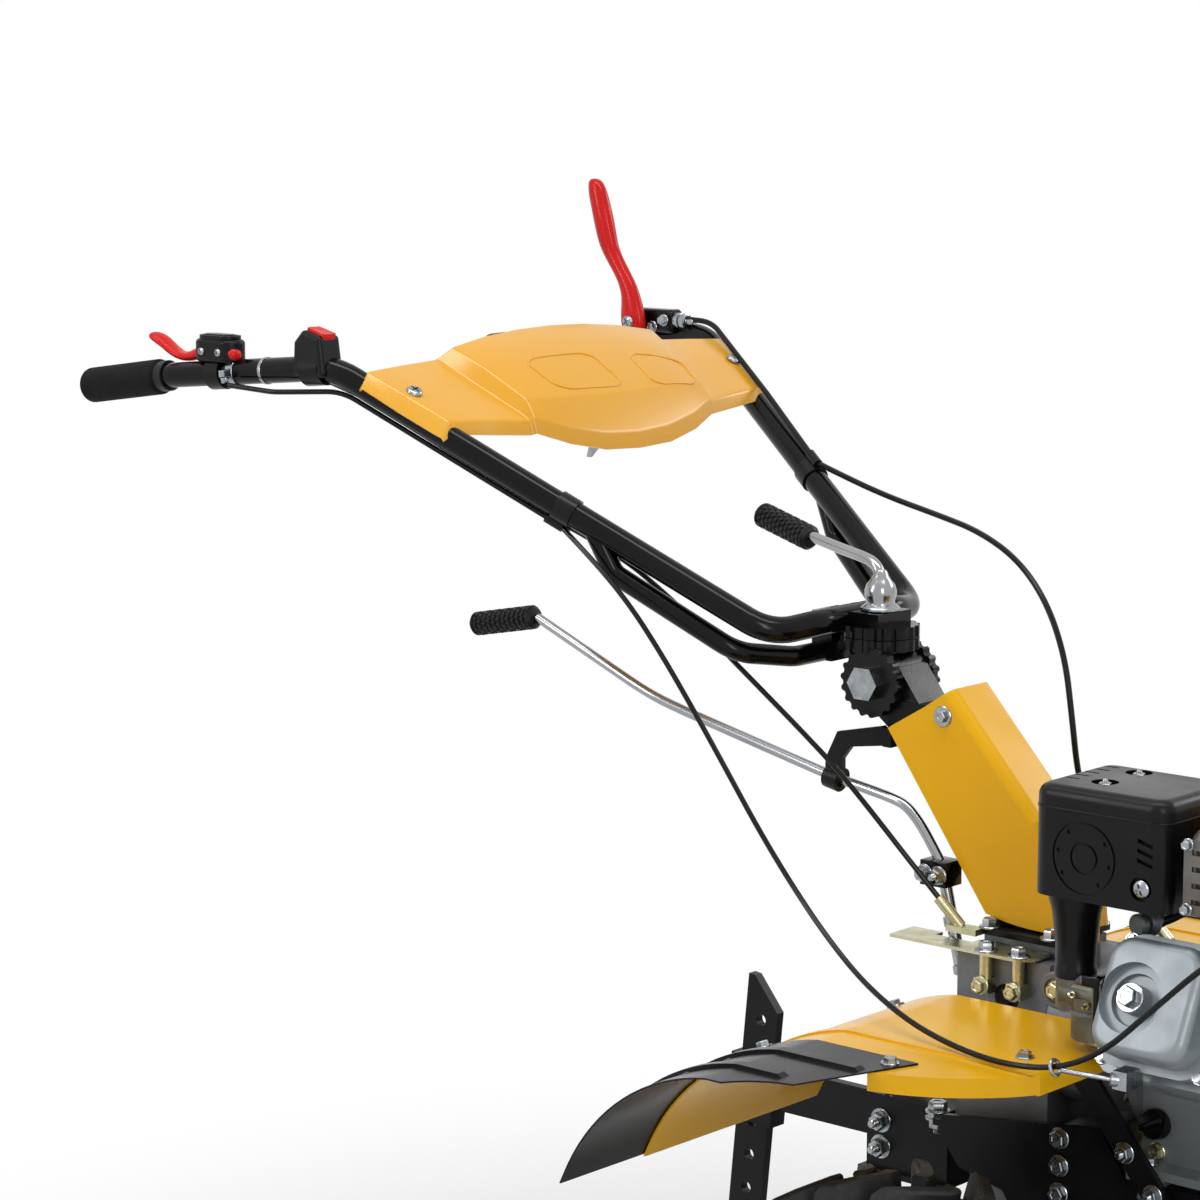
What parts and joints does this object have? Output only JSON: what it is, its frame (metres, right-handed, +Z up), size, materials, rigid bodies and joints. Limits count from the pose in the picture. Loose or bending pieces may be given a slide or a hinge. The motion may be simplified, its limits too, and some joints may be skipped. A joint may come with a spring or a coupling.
{
  "type": "rotary tiller",
  "caption": "Two-wheeled walk-behind rotary tiller with a swivelling handlebar, engine, wheel fenders, rear hitch and drag stake.",
  "frame": {"origin": "on the floor under the middle of the whole machine", "axes": "+X forward, towards the engine; +Y to the machine's left; +Z up"},
  "size_m": [1.5494, 0.91, 1.2778],
  "materials": {
    "yellow_paint": "gloss yellow paint",
    "yellow_cover": "glossy yellow moulding",
    "black_paint": "gloss black paint",
    "satin_black_paint": "satin black paint",
    "fender_black": "satin black paint",
    "rim_paint": "silver paint",
    "red_paint": "gloss red paint",
    "red_plastic": "gloss red plastic",
    "orange_plastic": "orange plastic",
    "black_plastic": "black plastic",
    "cast_aluminium": "sand-cast aluminium",
    "die_cast_aluminium": "die-cast aluminium",
    "cast_steel": "black painted casting",
    "hub_iron": "cast iron",
    "bare_steel": "bright steel",
    "zinc_steel": "zinc plated steel",
    "chrome": "chrome plate",
    "muffler_steel": "heat-worn steel",
    "tyre_rubber": "tyre rubber",
    "foam": "foam rubber",
    "grip_rubber": "knurled rubber",
    "cable_sheath": "cable sheath"
  },
  "bodies": {
    "chassis": {"air_cleaner": "black_plastic", "axle_sleeves": "bare_steel", "cable_eye": "zinc_steel", "cable_stops": "zinc_steel", "carburettor": "die_cast_aluminium", "clutch_cable": "cable_sheath", "clutch_housing": "cast_aluminium", "column_cover": "yellow_paint", "column_post": "satin_black_paint", "cylinder_head": "die_cast_aluminium", "drag_stake": "satin_black_paint", "drive_axle": "bare_steel", "engine_crankcase": "die_cast_aluminium", "engine_rails": "satin_black_paint", "fan_housing": "black_paint", "fender_extensions": "fender_black", "fender_struts": "satin_black_paint", "fenders": "yellow_paint", "filler_cap": "orange_plastic", "filler_neck": "cast_aluminium", "front_bumper": "satin_black_paint", "fuel_cap": "black_plastic", "fuel_tank": "yellow_paint", "gear_clamp": "zinc_steel", "gear_gate": "zinc_steel", "gear_lever": "chrome", "gear_lever_grip": "grip_rubber", "gearbox_case": "cast_aluminium", "head_cover": "die_cast_aluminium", "hitch_bracket": "satin_black_paint", "joint_base": "cast_steel", "lever_guide": "satin_black_paint", "muffler": "muffler_steel", "recoil_grip": "black_plastic", "recoil_starter": "black_paint", "reverse_cable": "cable_sheath", "side_plates": "satin_black_paint", "stake_holder": "satin_black_paint", "stake_pin": "zinc_steel", "throttle_cable": "cable_sheath", "tilt_bolt": "zinc_steel"},
    "handlebar": {"handlebar_tube": "black_paint", "handlebar_bracket": "black_paint", "handle_grips": "foam", "dash_cover": "yellow_cover", "clutch_lever": "red_paint", "clutch_perch": "black_paint", "throttle_body": "black_plastic", "throttle_lever": "red_plastic", "stop_switch": "black_plastic", "cable_bands": "cable_sheath", "cable_runs": "cable_sheath", "lock_lever": "chrome", "lock_grip": "grip_rubber"},
    "wheel_left": {"tyre_left": "tyre_rubber", "rim_left": "rim_paint", "hub_left": "hub_iron"},
    "wheel_right": {"tyre_right": "tyre_rubber", "rim_right": "rim_paint", "hub_right": "hub_iron"}
  },
  "joints": [
    {"name": "wheel_left_spin", "type": "hinge", "parent": "chassis", "child": "wheel_left", "pos_m": [0.2935, 0.3, 0.23], "axis": [0, 1, 0], "continuous": true},
    {"name": "wheel_right_spin", "type": "hinge", "parent": "chassis", "child": "wheel_right", "pos_m": [0.2935, -0.3, 0.23], "axis": [0, 1, 0], "continuous": true},
    {"name": "handlebar_swivel", "type": "hinge", "parent": "chassis", "child": "handlebar", "pos_m": [0.0185, 0, 0.87], "axis": [0, 0, 1], "range_deg": [-30, 30], "deforming": ["throttle_cable", "reverse_cable", "clutch_cable"]}
  ]
}
